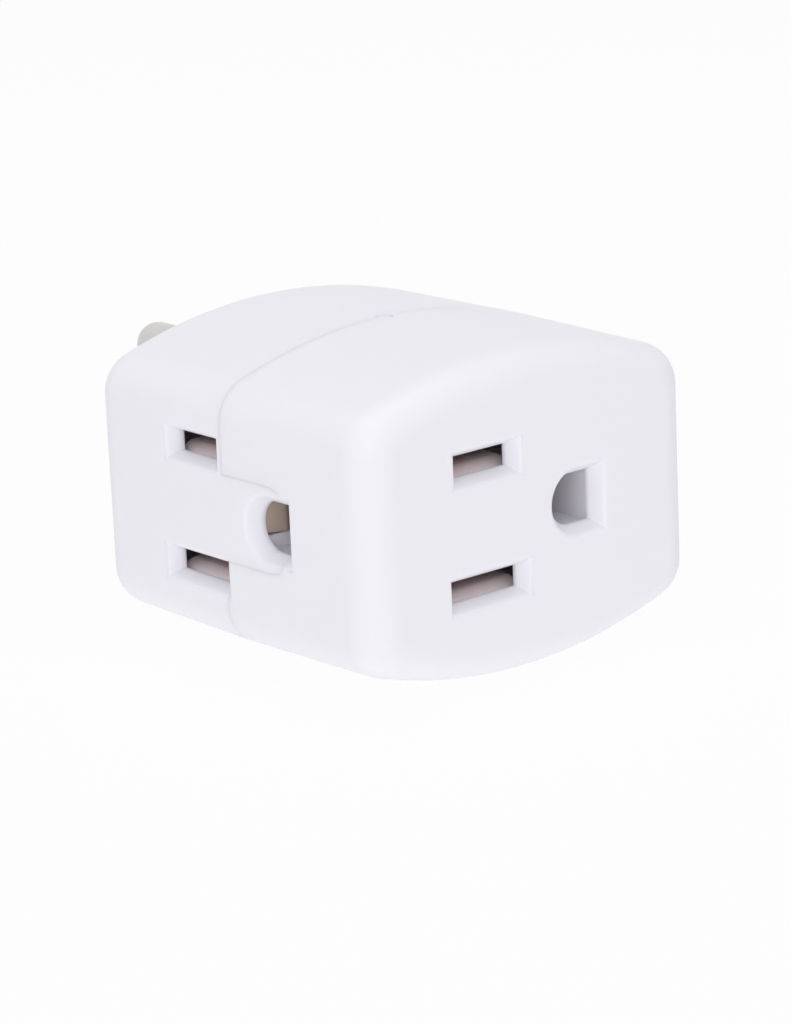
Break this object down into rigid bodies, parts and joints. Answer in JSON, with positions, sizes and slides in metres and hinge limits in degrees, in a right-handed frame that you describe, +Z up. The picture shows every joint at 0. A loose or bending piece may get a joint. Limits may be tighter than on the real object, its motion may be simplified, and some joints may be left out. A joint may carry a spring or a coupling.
{
  "type": "multi socket adapter",
  "caption": "White barrel-sided plug-in adapter that turns one earthed wall outlet into an outlet on the front and on each side.",
  "frame": {"origin": "middle of the flat plug face, where the body meets the wall plate", "axes": "+Y along the plug blades into the wall outlet, -Y to the front outlet, +Z up, +X to the right seen from the front"},
  "size_m": [0.044, 0.064, 0.0336],
  "materials": {
    "white_plastic": "satin moulded white",
    "plated_brass": "dull nickel plate",
    "brass_strip": "plain rolled",
    "contact_bronze": "plain rolled"
  },
  "bodies": {
    "root": {"rear_shell": "white_plastic", "front_shell": "white_plastic", "line_blade": "plated_brass", "neutral_blade": "plated_brass", "ground_pin": "plated_brass", "line_busbar": "brass_strip", "neutral_busbar": "brass_strip", "ground_busbar": "brass_strip", "line_rivets": "brass_strip", "neutral_rivets": "brass_strip", "ground_rivets": "brass_strip", "line_contact_front": "contact_bronze", "neutral_contact_front": "contact_bronze", "ground_contact_front": "contact_bronze", "line_contact_left": "contact_bronze", "neutral_contact_left": "contact_bronze", "ground_contact_left": "contact_bronze", "line_contact_right": "contact_bronze", "neutral_contact_right": "contact_bronze", "ground_contact_right": "contact_bronze"}
  },
  "joints": []
}
